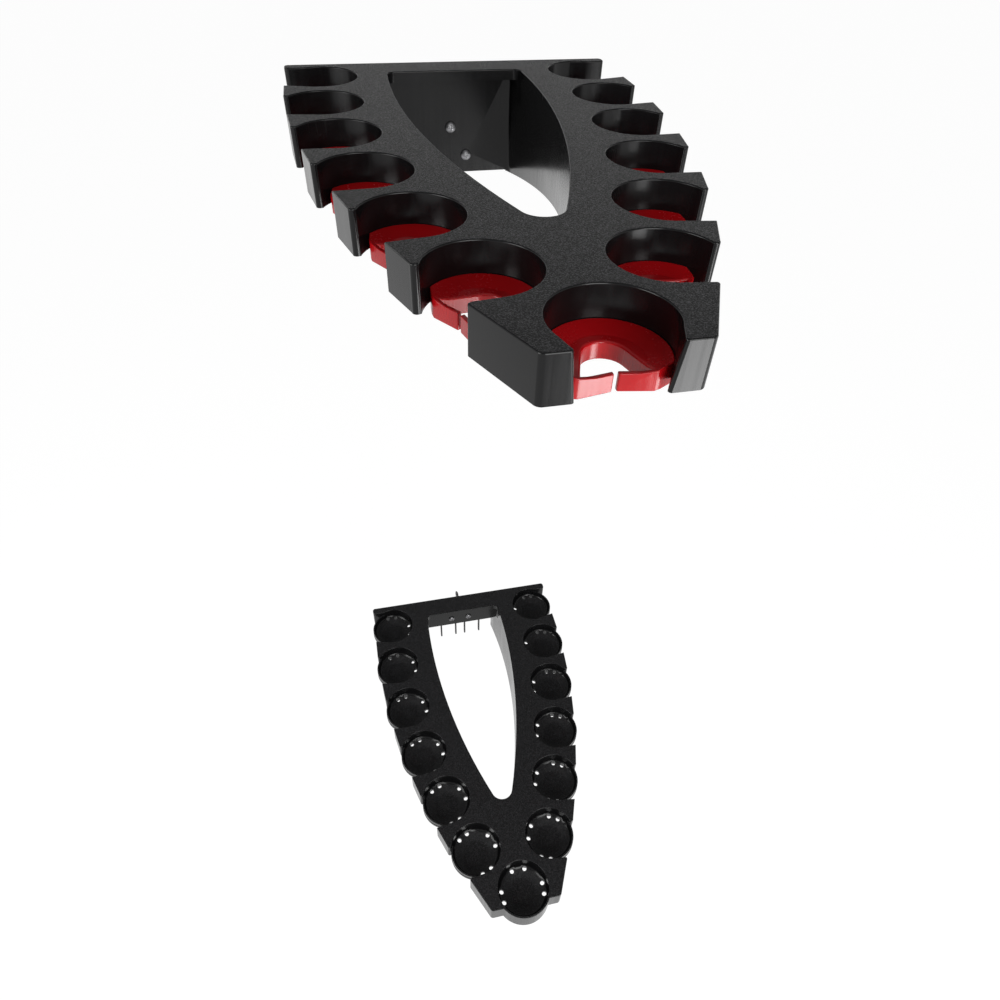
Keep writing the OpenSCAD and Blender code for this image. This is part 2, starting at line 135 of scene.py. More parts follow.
class InsertSettings(bpy.types.PropertyGroup):
    """Places and finish of the soft inserts."""
    edge_rounding: FloatProperty(
        name="Edge rounding", description="Radius on the edges of each insert",
        default=0.0006, min=0.0, max=0.001, unit="LENGTH")
    hole_rounding: FloatProperty(
        name="Hole rounding", description="Radius on the upper edge of the rod's hole",
        default=0.0013, min=0.0, max=0.002, unit="LENGTH")
    rim_radius: FloatProperty(
        name="Rim radius", description="Radius of the dish at its rim", default=0.0259, min=0.02, max=0.027,
        unit="LENGTH")
    dish_flat: FloatProperty(
        name="Flat radius", description="Radius of the dish's flat floor round the hole", default=0.0158,
        min=0.013, max=0.022, unit="LENGTH")
    dish_bend: FloatProperty(
        name="Dish bend", description="Half the width of the bend between the flat floor and the rim",
        default=0.0004, min=0.0001, max=0.001, unit="LENGTH")
    dish_drop: FloatProperty(
        name="Dish drop", description="Depth of the flat floor below the rim", default=0.0022, min=0.0015,
        max=0.003, unit="LENGTH")
    colour: FloatVectorProperty(
        name="Rubber colour", description="Colour of the red rubber", subtype="COLOR",
        default=(0.45, 0.003, 0.006), min=0.0, max=1.0)
    side_count: IntProperty(
        name="Pockets a side", description="Number of pockets along each side", default=6, min=1, max=6)
    pitch: FloatProperty(
        name="Pocket pitch", description="Distance between neighbouring pockets", default=0.0615,
        min=0.05, max=0.08, unit="LENGTH")
    first_side: FloatProperty(
        name="First pocket aside", description="First pocket's distance from the middle", default=0.0957,
        min=0.08, max=0.11, unit="LENGTH")
    first_front: FloatProperty(
        name="First pocket in front", description="First pocket's distance from the wall", default=0.0327,
        min=0.02, max=0.05, unit="LENGTH")
    lean_start: FloatProperty(
        name="First lean", description="Lean of the pocket line at the wall", subtype="ANGLE",
        default=math.radians(-0.2))
    lean_step: FloatProperty(
        name="Lean step", description="Further lean from pocket to pocket", subtype="ANGLE",
        default=math.radians(5.35))
    mouth_turn: FloatProperty(
        name="Mouth turn", description="How much further each mouth turns to the front than the pocket line",
        subtype="ANGLE", default=math.radians(1.288))
    first_turn: FloatProperty(
        name="First mouth turn", description="The same turn in the pocket at the wall", subtype="ANGLE",
        default=math.radians(-3.181))
    last_turn: FloatProperty(
        name="Last mouth turn", description="The same turn in the last pocket of a side", subtype="ANGLE",
        default=math.radians(-0.771))


class ScrewSettings(bpy.types.PropertyGroup):
    """Sizes and finish of the wall screws."""
    circle: FloatProperty(
        name="Screw circle", description="Radius of the circle through the screws", default=0.014,
        min=0.01, max=0.02, unit="LENGTH")
    count: IntProperty(
        name="Screw count", description="Number of screws in each holder", default=3, min=1, max=6)
    head_rounding: FloatProperty(
        name="Head rounding", description="Radius on the edges of each head", default=0.00012, min=0.0,
        max=0.0003, unit="LENGTH")
    core_radius: FloatProperty(
        name="Core radius", description="Radius of the shank between the turns", default=0.0016,
        min=0.0012, max=0.002, unit="LENGTH")
    thread_height: FloatProperty(
        name="Thread height", description="How far the thread stands out of the core", default=0.0006,
        min=0.0002, max=0.0006, unit="LENGTH")
    thread_pitch: FloatProperty(
        name="Thread pitch", description="Distance between two turns of the thread", default=0.002,
        min=0.001, max=0.003, unit="LENGTH")
    point_length: FloatProperty(
        name="Point length", description="Length of the tapered point", default=0.004, min=0.002, max=0.008,
        unit="LENGTH")
    colour: FloatVectorProperty(
        name="Zinc colour", description="Colour of the plated steel", subtype="COLOR",
        default=(0.3, 0.3, 0.31), min=0.0, max=1.0)


class StageSettings(bpy.types.PropertyGroup):
    """Camera, floor and light."""
    camera_place: FloatVectorProperty(
        name="Camera place", description="Where the camera stands", subtype="TRANSLATION",
        default=(-0.0943, -0.5971, 0.1884))
    camera_yaw: FloatProperty(
        name="Camera yaw", description="Turn to the right", subtype="ANGLE", default=math.radians(13.87))
    camera_pitch: FloatProperty(
        name="Camera pitch", description="Tilt down", subtype="ANGLE", default=math.radians(44.23))
    camera_roll: FloatProperty(
        name="Camera roll", description="Roll", subtype="ANGLE", default=math.radians(2.25))
    lens: FloatProperty(
        name="Lens", description="Focal length in millimetres on a 36 mm sensor", default=25.12, min=10.0)
    floor_drop: FloatProperty(
        name="Floor drop", description="Height of the rack's lowest edge above the floor", default=0.35,
        min=0.0, unit="LENGTH")
    floor_colour: FloatVectorProperty(
        name="Floor colour", description="Colour of the floor", subtype="COLOR", default=(0.9, 0.9, 0.9),
        min=0.0, max=1.0)
    room_light: FloatProperty(
        name="Room light", description="Strength of the even light from all round", default=0.1, min=0.0)
    ceiling: FloatProperty(
        name="Ceiling", description="How bright the ceiling looks in the gloss, against the white below it",
        default=0.2, min=0.0, max=1.0)
    front_power: FloatProperty(
        name="Front light", description="Power of the large soft light in front", default=21.0, min=0.0,
        unit="POWER")
    top_power: FloatProperty(
        name="Top light", description="Power of the soft light overhead", default=1.5, min=0.0, unit="POWER")
    low_power: FloatProperty(
        name="Low light", description="Power of the small light low on the right", default=8.0, min=0.0,
        unit="POWER")
    left_power: FloatProperty(
        name="Left light", description="Power of the soft light on the left", default=11.0, min=0.0,
        unit="POWER")


class RodRackSettings(bpy.types.PropertyGroup):
    """Everything that a user would change."""
    holders: PointerProperty(type=HolderSettings)
    inserts: PointerProperty(type=InsertSettings)
    screws: PointerProperty(type=ScrewSettings)
    stage: PointerProperty(type=StageSettings)


# ---------------------------------------------------------------- node helpers

def feed(tree, node, inputs):
    """Sets a node's inputs, each to a plain value or from another node's output."""
    for key, value in inputs.items():
        if isinstance(value, bpy.types.NodeSocket):
            tree.links.new(value, node.inputs[key])
        else:
            node.inputs[key].default_value = value


def add(tree, kind, inputs=None, **settings):
    """Adds a node, sets its own properties and then its inputs."""
    node = tree.nodes.new(kind)
    for key, value in settings.items():
        setattr(node, key, value)
    feed(tree, node, inputs or {})
    return node


def maths(tree, operation, a, b=0.0):
    """One step of arithmetic, such as SINE or MAXIMUM, on a number or two."""
    return add(tree, "ShaderNodeMath", {0: a, 1: b}, operation=operation).outputs["Value"]


def times(tree, a, b):
    """The product of two numbers."""
    return maths(tree, "MULTIPLY", a, b)


def plus(tree, a, b):
    """The sum of two numbers."""
    return maths(tree, "ADD", a, b)


def minus(tree, a, b):
    """The difference of two numbers."""
    return maths(tree, "SUBTRACT", a, b)


def noise(tree, place, scale, detail=2.0, rough=0.5):
    """Even noise, whose lumps are about 1 / scale of a metre wide."""
    return add(tree, "ShaderNodeTexNoise", {
        "Scale": scale, "Detail": detail, "Roughness": rough, "Vector": place}).outputs["Fac"]


def spread(tree, value, source, target):
    """Takes a value from the source range to the target range, softly at both ends."""
    return add(tree, "ShaderNodeMapRange", {
        "From Min": source[0], "From Max": source[1], "To Min": target[0], "To Max": target[1],
        "Value": value}, interpolation_type="SMOOTHSTEP").outputs["Result"]


def toned(colour, factor=1.0):
    """A colour made darker or lighter by a factor, with its alpha."""
    return (*[min(1.0, factor * c) for c in colour], 1.0)


def between(tree, share, first, second):
    """A colour between two others, by a share from 0 to 1."""
    return add(tree, "ShaderNodeMix", {"Factor": share, "A": first, "B": second},
               data_type="RGBA").outputs[2]


def mix_shaders(tree, share, first, second):
    """The output of a mix of two shaders, by a share from 0 to 1."""
    return add(tree, "ShaderNodeMixShader", {"Fac": share, 1: first, 2: second}).outputs["Shader"]


# ---------------------------------------------------------------- materials

def new_material(name):
    """A material with one shader, whose inputs are still to be set."""
    material = bpy.data.materials.new(name)
    material.use_nodes = True
    tree = material.node_tree
    tree.nodes.clear()
    shader = add(tree, "ShaderNodeBsdfPrincipled")
    add(tree, "ShaderNodeOutputMaterial", {"Surface": shader.outputs["BSDF"]})
    return material, tree, shader


def stretched(tree, place, across, along):
    """Noise drawn out along Z, for flow and drag marks on upright walls."""
    scaled = add(tree, "ShaderNodeMapping", {"Scale": (across, across, along), "Vector": place})
    return noise(tree, scaled.outputs["Vector"], scale=1.0)


def moulded_plastic(s):
    """Black plastic: grained where it faces up, with a painted highlight on the crests of that grain,
    smoother and glossier on its walls.
    """
    material, tree, shader = new_material("moulded_plastic")
    place = add(tree, "ShaderNodeTexCoord").outputs["Object"]
    normal = add(tree, "ShaderNodeNewGeometry").outputs["Normal"]
    rise = add(tree, "ShaderNodeSeparateXYZ", {"Vector": normal}).outputs["Z"]
    top = spread(tree, rise, (0.8, 0.98), (0.0, 1.0))
    grit = noise(tree, place, 1.0 / s.stipple_size, detail=1.0, rough=0.6)
    streaks = stretched(tree, place, across=500.0, along=9.0)
    cloud = noise(tree, place, 14.0, detail=3.0)
    stipple = add(tree, "ShaderNodeBump", {"Distance": s.stipple_depth, "Height": grit, "Strength": top})
    skin = add(tree, "ShaderNodeBump", {
        "Strength": 0.05, "Distance": 0.0003, "Height": streaks, "Normal": stipple.outputs["Normal"]})
    wall_rough = plus(tree, spread(tree, cloud, NOISE_RANGE, (0.15, 0.22)),
                      spread(tree, streaks, NOISE_RANGE, (0.0, 0.06)))
    top_rough = spread(tree, grit, NOISE_RANGE, (0.6, 0.36))
    rough = add(tree, "ShaderNodeMix", {"Factor": top, "A": wall_rough, "B": top_rough}, data_type="FLOAT")
    # Painted highlight: on faces that look up, the grain's crests are painted up to twelve times lighter,
    # standing in for light that catches them.
    painted_crest_highlight = times(tree, spread(tree, grit, (0.48, 0.68), (0.0, 1.0)), top)
    feed(tree, shader, {
        "Base Color": between(tree, painted_crest_highlight, toned(s.colour), toned(s.colour, 12.0)),
        "Roughness": rough.outputs[0], "Normal": skin.outputs["Normal"],
        "IOR": 1.5, "Specular IOR Level": 0.25})
    return material


def red_rubber(s):
    """Glossy soft rubber, a little uneven in colour and gloss."""
    material, tree, shader = new_material("red_rubber")
    place = add(tree, "ShaderNodeTexCoord").outputs["Object"]
    cloud = noise(tree, place, 45.0)
    fine = noise(tree, place, 500.0, detail=1.0)
    streaks = stretched(tree, place, across=700.0, along=20.0)
    bump = add(tree, "ShaderNodeBump", {"Strength": 0.1, "Distance": 0.00004, "Height": fine})
    feed(tree, shader, {
        "Base Color": between(tree, cloud, toned(s.colour, 0.86), toned(s.colour, 1.1)),
        "Roughness": plus(tree, spread(tree, cloud, NOISE_RANGE, (0.14, 0.2)),
                          spread(tree, streaks, NOISE_RANGE, (0.0, 0.1))),
        "Normal": bump.outputs["Normal"], "IOR": 1.5, "Specular IOR Level": 0.4})
    return material


def zinc_steel(s):
    """Plated steel, slightly mottled."""
    material, tree, shader = new_material("zinc_steel")
    place = add(tree, "ShaderNodeTexCoord").outputs["Object"]
    patches = noise(tree, place, 500.0, detail=3.0)
    bright = spread(tree, patches, (0.3, 0.6), (0.0, 1.0))
    feed(tree, shader, {
        "Base Color": between(tree, bright, toned(s.colour, 0.75), toned(s.colour)),
        "Roughness": spread(tree, patches, NOISE_RANGE, (0.4, 0.55)), "Metallic": 1.0})
    return material


# ---------------------------------------------------------------- mesh helpers

def frame_mesh(node, flatness=0.05):
    """The merged mesh of one frame node, with faces joined that turn by less than the flatness in degrees."""
    mesh = bmesh.new()
    mesh.from_mesh(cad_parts[node].data)
    bmesh.ops.remove_doubles(mesh, verts=mesh.verts, dist=WELD)
    bmesh.ops.dissolve_limit(mesh, angle_limit=math.radians(flatness), verts=mesh.verts, edges=mesh.edges,
                             use_dissolve_boundaries=False)
    return mesh


def convex_edges(mesh, degrees, keep):
    """Edges that turn outwards by more than some degrees and that keep() takes."""
    least = math.radians(degrees)
    return [edge for edge in mesh.edges
            if len(edge.link_faces) == 2 and edge.calc_face_angle_signed(0.0) > least and keep(edge)]


def round_edges(mesh, edges, radius, steps):
    """Rounds edges in place."""
    bmesh.ops.bevel(mesh, geom=edges, offset=radius, offset_type="OFFSET", segments=steps, profile=0.5,
                    affect="EDGES", clamp_overlap=False, loop_slide=True)


def new_object(name, data):
    """An object of the scene, at the origin."""
    made = bpy.data.objects.new(name, data)
    bpy.context.scene.collection.objects.link(made)
    return made


def mesh_object(mesh, name):
    """An object of its own from a bmesh, which is freed."""
    data = bpy.data.meshes.new(name)
    mesh.to_mesh(data)
    mesh.free()
    return new_object(name, data)


def baked(source, name):
    """A plain mesh object from what an object's modifiers make, in place of that object."""
    bpy.context.view_layer.update()
    depsgraph = bpy.context.evaluated_depsgraph_get()
    data = bpy.data.meshes.new_from_object(source.evaluated_get(depsgraph), depsgraph=depsgraph)
    data.name = name
    bpy.data.objects.remove(source)
    return new_object(name, data)


def shade(piece, angle=33.0):
    """Smooth shading between edges sharper than an angle in degrees, with the flat faces kept flat."""
    piece.data.shade_smooth()
    piece.data.set_sharp_from_angle(angle=math.radians(angle))
    weighted = piece.modifiers.new("flat_faces_first", "WEIGHTED_NORMAL")
    weighted.keep_sharp = True


def finish_piece(piece, slot, *nodes):
    """Shades a piece and sets it in place of frame nodes."""
    shade(piece)
    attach(piece, "root")
    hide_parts(*nodes)


# ---------------------------------------------------------------- geometry nodes

def new_tree(name, inputs):
    """A geometry tree with a mesh input, named inputs and a mesh output."""
    tree = bpy.data.node_groups.new(name, "GeometryNodeTree")
    tree.interface.new_socket("Mesh", in_out="INPUT", socket_type="NodeSocketGeometry")
    for label, kind, value in inputs:
        socket = tree.interface.new_socket(label, in_out="INPUT", socket_type="NodeSocket" + kind)
        if value is not None:
            socket.default_value = value
    tree.interface.new_socket("Mesh", in_out="OUTPUT", socket_type="NodeSocketGeometry")
    return tree, add(tree, "NodeGroupInput").outputs


def add_tree(source, tree, values):
    """Gives an object a tree, with its inputs set by the identifiers of their sockets."""
    modifier = source.modifiers.new(tree.name, "NODES")
    modifier.node_group = tree
    for item in tree.interface.items_tree:
        if item.item_type == "SOCKET" and item.in_out == "INPUT" and item.name in values:
            modifier[item.identifier] = values[item.name]


def switch(tree, choice, no, yes, kind="FLOAT"):
    """One of two values, picked by a yes or no."""
    return add(tree, "GeometryNodeSwitch", {"Switch": choice, "False": no, "True": yes},
               input_type=kind).outputs["Output"]


def vector(tree, x, y, z):
    """A vector from its three numbers."""
    return add(tree, "ShaderNodeCombineXYZ", {"X": x, "Y": y, "Z": z}).outputs["Vector"]


def moved(tree, shape, inputs):
    """A shape moved or turned as the inputs of a Transform node say."""
    return add(tree, "GeometryNodeTransform", {"Geometry": shape, **inputs}).outputs["Geometry"]


def end_tree(tree, points, instance, material, turn=(0.0, 0.0, 0.0)):
    """Sets a copy on each point and closes a tree with real meshes and their material."""
    copies = add(tree, "GeometryNodeInstanceOnPoints", {
        "Points": points, "Instance": instance, "Rotation": turn})
    real = add(tree, "GeometryNodeRealizeInstances", {"Geometry": copies.outputs["Instances"]})
    painted = add(tree, "GeometryNodeSetMaterial", {
        "Geometry": real.outputs["Geometry"], "Material": material})
    add(tree, "NodeGroupOutput", {"Mesh": painted.outputs["Geometry"]})


def pocket_tree():
    """Walks along the pockets of one side and sets a mesh in the last one it reaches."""
    tree, given = new_tree("set_in_pocket", (
        ("Pocket", "Int", 1), ("On the left", "Bool", False), ("At the front", "Bool", False),
        ("Pitch", "Float", 0.06), ("First side", "Float", 0.1), ("First front", "Float", 0.03),
        ("Lean start", "Float", 0.0), ("Lean step", "Float", 0.09), ("Mouth turn", "Float", 0.0),
        ("Height", "Float", 0.0), ("Material", "Material", None)))
    pocket, pitch, on_left, at_front = (given[k] for k in ("Pocket", "Pitch", "On the left", "At the front"))
    index = add(tree, "GeometryNodeInputIndex").outputs["Index"]
    walk = add(tree, "GeometryNodePoints", {"Count": pocket})

    def lean(steps):
        """Lean of the pocket line after some steps."""
        return plus(tree, given["Lean start"], times(tree, given["Lean step"], steps))

    def stride(wave, angle):
        """One part of a step from pocket to pocket, by a wave of its lean."""
        return times(tree, maths(tree, wave, angle), times(tree, pitch, -1.0))

    def power(value, exponent):
        """A number raised to an exponent."""
        return maths(tree, "POWER", value, exponent)

    here = lean(minus(tree, index, 1.0))
    step = vector(tree, stride("SINE", here), stride("COSINE", here), 0.0)
    start = vector(tree, given["First side"], times(tree, given["First front"], -1.0), 0.0)
    at_start = maths(tree, "LESS_THAN", index, 0.5)
    path = add(tree, "GeometryNodeAccumulateField", {"Value": switch(tree, at_start, step, start, "VECTOR")},
               data_type="FLOAT_VECTOR")
    place = add(tree, "ShaderNodeSeparateXYZ", {"Vector": path.outputs["Leading"]}).outputs
    reach = minus(tree, power(pitch, 2.0), power(place["X"], 2.0))
    ahead = minus(tree, place["Y"], power(reach, 0.5))
    side = switch(tree, on_left, 1.0, -1.0)
    centre = vector(tree, switch(tree, at_front, times(tree, place["X"], side), 0.0),
                    switch(tree, at_front, place["Y"], ahead), given["Height"])
    placed = add(tree, "GeometryNodeSetPosition", {"Geometry": walk.outputs["Points"], "Position": centre})
    passed = maths(tree, "LESS_THAN", index, minus(tree, pocket, 1.5))
    last = add(tree, "GeometryNodeDeleteGeometry", {
        "Geometry": placed.outputs["Geometry"], "Selection": passed}, domain="POINT")
    right = times(tree, plus(tree, lean(minus(tree, pocket, 1.0)), given["Mouth turn"]), -1.0)
    left = minus(tree, math.pi, right)
    turn = switch(tree, at_front, switch(tree, on_left, right, left), -math.pi / 2)
    end_tree(tree, last.outputs["Geometry"], given["Mesh"], given["Material"], vector(tree, 0.0, 0.0, turn))
    return tree


def screw_tree():
    """Adds a threaded shank and point to a screw head and sets the screws on a circle."""
    tree, given = new_tree("wall_screws", (
        ("Count", "Int", 3), ("Circle", "Float", 0.014), ("Core radius", "Float", 0.0017),
        ("Thread height", "Float", 0.0005), ("Thread pitch", "Float", 0.002), ("Start", "Float", 0.004),
        ("Length", "Float", 0.032), ("Point length", "Float", 0.004), ("Place", "Vector", None),
        ("Material", "Material", None)))
    radius, start, point_length = given["Core radius"], given["Start"], given["Point length"]

    def along(distance):
        """A place on the screw's own axis."""
        return vector(tree, 0.0, 0.0, distance)

    def ring(size, corners):
        """A closed circle or square."""
        return add(tree, "GeometryNodeCurvePrimitiveCircle", {"Resolution": corners, "Radius": size},
                   mode="RADIUS").outputs["Curve"]

    def swept(curve, profile):
        """A rod of some profile along a curve, closed at both ends."""
        return add(tree, "GeometryNodeCurveToMesh", {
            "Fill Caps": True, "Curve": curve, "Profile Curve": profile}).outputs["Mesh"]

    def thread(begin, length, end_radius):
        """The ridge wound round the axis, from the core's radius to the end radius."""
        coil = add(tree, "GeometryNodeCurveSpiral", {
            "Resolution": ROUND_STEPS, "Rotations": maths(tree, "DIVIDE", length, given["Thread pitch"]),
            "Start Radius": radius, "End Radius": end_radius, "Height": length}).outputs["Curve"]
        upright = add(tree, "GeometryNodeSetCurveNormal", {
            "Curve": moved(tree, coil, {"Translation": along(begin)})}, mode="Z_UP")
        return swept(upright.outputs["Curve"], ridge)

    ridge = ring(given["Thread height"], 4)
    shank_end = minus(tree, given["Length"], point_length)
    line = add(tree, "GeometryNodeCurvePrimitiveLine", {"Start": along(start), "End": along(shank_end)})
    core = swept(line.outputs["Curve"], ring(radius, ROUND_STEPS))
    cone = add(tree, "GeometryNodeMeshCone", {
        "Vertices": ROUND_STEPS, "Radius Bottom": radius, "Radius Top": times(tree, radius, POINT_TIP),
        "Depth": point_length}).outputs["Mesh"]
    point = moved(tree, cone, {"Translation": along(minus(tree, shank_end, OVERLAP))})
    thread_start = plus(tree, start, given["Thread pitch"])
    on_shank = thread(thread_start, minus(tree, shank_end, thread_start), radius)
    on_point = thread(shank_end, times(tree, point_length, THREADED_POINT), times(tree, radius, THREAD_TAPER))
    whole = add(tree, "GeometryNodeJoinGeometry")
    for part in (given["Mesh"], core, point, on_shank, on_point):
        feed(tree, whole, {"Geometry": part})
    into_wall = moved(tree, whole.outputs["Geometry"], {"Rotation": (-math.pi / 2, 0.0, 0.0)})
    circle = add(tree, "GeometryNodeMeshCircle", {"Vertices": given["Count"], "Radius": given["Circle"]})
    places = moved(tree, circle.outputs["Mesh"], {
        "Rotation": (math.pi / 2, -math.pi / 2, 0.0), "Translation": given["Place"]})
    end_tree(tree, places, into_wall, given["Material"])
    return tree


# ---------------------------------------------------------------- operators

class HolderOperator:
    """What both holders share."""

    def lean_in(self, mesh, draft):
        """Leans the sides of the open front mouth towards its middle, most at their lower front corners."""
        front = min(v.co.y for v in mesh.verts)
        for v in mesh.verts:
            if abs(v.co.x) < MOUTH_HALF and v.co.y < front + MOUTH_DEPTH:
                down = (UPPER_TOP - v.co.z) / PLATE_DEPTH
                ahead = 1.0 - (v.co.y - front) / MOUTH_DEPTH
                v.co.x -= math.copysign(draft * down * min(1.0, 2.0 * ahead), v.co.x)

    def dress(self, node, name, top, front_mouth=False):
        """Rounds the edges of a node's top face and gives it the moulded plastic."""
        s = bpy.context.scene.rod_rack.holders
        mesh = frame_mesh(node)
        edges = convex_edges(mesh, 35.0, lambda e: all(abs(v.co.z - top) < ON_FACE for v in e.verts))
        if not edges:
            raise RuntimeError(f"{node} has no top edges to round")
        round_edges(mesh, edges, s.edge_rounding, s.edge_steps)
        if front_mouth:
            self.lean_in(mesh, s.mouth_draft)
        piece = mesh_object(mesh, name)
        piece.data.materials.append(bpy.data.materials.get("moulded_plastic") or moulded_plastic(s))
        finish_piece(piece, "black_plastic", node)


class RODRACK_OT_upper_holder(bpy.types.Operator, HolderOperator):
    """Rounds and finishes the upper holder"""
    bl_idname = "rodrack.upper_holder"
    bl_label = "Upper Holder"

    def execute(self, context):
        self.dress("upper_holder", "upper_moulding", UPPER_TOP, front_mouth=True)
        return {"FINISHED"}


class RODRACK_OT_lower_holder(bpy.types.Operator, HolderOperator):
    """Rounds and finishes the lower holder"""
    bl_idname = "rodrack.lower_holder"
    bl_label = "Lower Holder"

    def execute(self, context):
        self.dress("lower_holder", "lower_moulding", LOWER_TOP)
        return {"FINISHED"}


class RODRACK_OT_inserts(bpy.types.Operator):
    """Rounds one soft insert and sets a copy in each pocket"""
    bl_idname = "rodrack.inserts"
    bl_label = "Soft Inserts"

    def cut_ring(self, mesh, radius, on_dish):
        """Cuts a ring of edges into the faces of the dish at some radius."""
        ring = []
        for edge in [e for e in mesh.edges if on_dish(e.verts[0]) and on_dish(e.verts[1])]:
            near, far = sorted(edge.verts, key=lambda v: v.co.xy.length)
            if near.co.xy.length < radius < far.co.xy.length:
                a, d = near.co.xy, far.co.xy - near.co.xy
                half = a.dot(d) / d.dot(d)
                share = math.sqrt(half ** 2 - (a.dot(a) - radius ** 2) / d.dot(d)) - half
                ring.append(bmesh.utils.edge_split(edge, near, share)[1])
        if len(ring) < CONE_EDGES:
            raise RuntimeError("the dish's cone isn't found")
        for face in list(dict.fromkeys(f for v in ring for f in v.link_faces)):
            met = [v for v in face.verts if v in ring]
            if len(met) == 2 and all(on_dish(v) for v in face.verts):
                bmesh.utils.face_split(face, *met)

    def sink_dish(self, mesh, s):
        """Gives the dish a flat floor and a steeper rim, where the frame has a cone."""
        low = INSERT_TOP - UPPER_TOP

        def depth(v):
            """How far a vertex lies below the frame's cone."""
            return low - CONE_DROP * (1.0 - v.co.xy.length / s.rim_radius) - v.co.z

        def on_dish(v):
            """Whether a vertex lies on the frame's cone."""
            return v.co.xy.length < s.rim_radius and abs(depth(v)) < ON_FACE

        for radius in (s.dish_flat - s.dish_bend, s.dish_flat + s.dish_bend):
            self.cut_ring(mesh, radius, on_dish)
        falls = []
        for v in mesh.verts:
            reach, under = v.co.xy.length, depth(v)
            if reach < s.rim_radius and -ON_FACE < under < CLEAR_DEPTH:
                floor = low - s.dish_drop * min(1.0, (s.rim_radius - reach) / (s.rim_radius - s.dish_flat))
                falls.append((v, (floor - v.co.z - under) * (1.0 - max(0.0, under) / CLEAR_DEPTH)))
        for v, fall in falls:
            v.co.z += fall
        bmesh.ops.remove_doubles(mesh, verts=mesh.verts, dist=WELD)

    def pattern(self, s):
        """One insert about its pocket's middle, with its mouth along X."""
        mesh = frame_mesh("insert_front", 0.5)
        centre = Vector((0.0, self.front_pocket(s), UPPER_TOP))
        bmesh.ops.transform(mesh, matrix=Matrix.Rotation(math.pi / 2, 4, "Z") @ Matrix.Translation(-centre),
                            verts=mesh.verts)
        weights = mesh.edges.layers.float.new("bevel_weight_edge")
        share = s.edge_rounding / s.hole_rounding
        for edge in convex_edges(mesh, 40.0, lambda e: True):
            middle = (edge.verts[0].co + edge.verts[1].co) / 2
            at_hole = middle.x < HOLE_AHEAD and middle.xy.length < HOLE_REACH and middle.z > HOLE_LOW
            edge[weights] = 1.0 if at_hole else share
        source = mesh_object(mesh, "insert_pattern")
        bevel = source.modifiers.new("rounded_edges", "BEVEL")
        bevel.limit_method = "WEIGHT"
        bevel.width = s.hole_rounding
        bevel.segments = 4
        bevel.use_clamp_overlap = False
        rounded = baked(source, "rounded_insert")
        mesh = bmesh.new()
        mesh.from_mesh(rounded.data)
        self.sink_dish(mesh, s)
        mesh.to_mesh(rounded.data)
        mesh.free()
        return rounded

    def front_pocket(self, s):
        """Where the front pocket's middle lies along Y, found as the tree finds it."""
        x, y = s.first_side, -s.first_front
        for k in range(s.side_count - 1):
            lean = s.lean_start + k * s.lean_step
            x, y = x - s.pitch * math.sin(lean), y - s.pitch * math.cos(lean)
        return y - math.sqrt(s.pitch ** 2 - x ** 2)

    def execute(self, context):
        s = context.scene.rod_rack.inserts
        pattern, tree = self.pattern(s), pocket_tree()
        common = {"Pitch": s.pitch, "First side": s.first_side, "First front": s.first_front,
                  "Lean start": s.lean_start, "Lean step": s.lean_step, "Height": UPPER_TOP,
                  "Material": red_rubber(s)}
        places = [("front", s.side_count, False, True)]
        places += [(f"{side}_{k}", k, side == "left", False)
                   for side in ("left", "right") for k in range(1, s.side_count + 1)]
        for name, k, left, front in places:
            turn = s.first_turn if k == 1 else s.last_turn if k == s.side_count else s.mouth_turn
            source = new_object(f"insert_at_{name}", pattern.data)
            add_tree(source, tree, {**common, "Pocket": k, "On the left": left, "At the front": front,
                                    "Mouth turn": turn})
            finish_piece(baked(source, f"soft_insert_{name}"), "red_rubber", f"insert_{name}")
        bpy.data.objects.remove(pattern)
        return {"FINISHED"}


class RODRACK_OT_screws(bpy.types.Operator):
    """Threads the wall screws and sets them in both holders"""
    bl_idname = "rodrack.screws"
    bl_label = "Wall Screws"

    def head(self, node, s):
        """The head and neck of a node's topmost screw, upright on its own axis, with its place and sizes."""
        mesh = frame_mesh(node)
        low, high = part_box(node)
        others = [v for v in mesh.verts if v.co.z < high.z - ONE_SCREW * s.circle]
        bmesh.ops.delete(mesh, geom=others, context="VERTS")
        radius = max(v.co.x for v in mesh.verts)
        axis = Vector((0.0, low.y, high.z - radius))
        bmesh.ops.transform(mesh, matrix=Matrix.Rotation(math.pi / 2, 4, "X") @ Matrix.Translation(-axis),
                            verts=mesh.verts)
        neck = -low.y
        cut = bmesh.ops.bisect_plane(mesh, geom=[*mesh.verts, *mesh.edges, *mesh.faces],
                                     plane_co=(0, 0, neck - OVERLAP), plane_no=(0, 0, 1), clear_outer=True)
        open_ring = [e for e in cut["geom_cut"] if isinstance(e, bmesh.types.BMEdge)]
        bmesh.ops.contextual_create(mesh, geom=open_ring)

        def on_head(edge):
            """Whether an edge is the head's: on its rim or in its recess."""
            place = edge.verts[0].co
            return place.z < HEAD_DEPTH and (place.xy.length > HEAD_RIM or place.z < HEAD_FACE)

        round_edges(mesh, convex_edges(mesh, 50.0, on_head), s.head_rounding, 2)
        return mesh, axis - Vector((0.0, 0.0, s.circle)), neck, high.y - low.y

    def execute(self, context):
        s = context.scene.rod_rack.screws
        material, tree = zinc_steel(s), screw_tree()
        for node, name in (("upper_screws", "upper_wall_screws"), ("lower_screws", "lower_wall_screws")):
            mesh, place, neck, length = self.head(node, s)
            source = mesh_object(mesh, name + "_head")
            add_tree(source, tree, {
                "Count": s.count, "Circle": s.circle, "Core radius": s.core_radius,
                "Thread height": s.thread_height, "Thread pitch": s.thread_pitch,
                "Start": neck - 2 * OVERLAP, "Length": length, "Point length": s.point_length,
                "Place": place, "Material": material})
            finish_piece(baked(source, name), "zinc_steel", node)
        return {"FINISHED"}


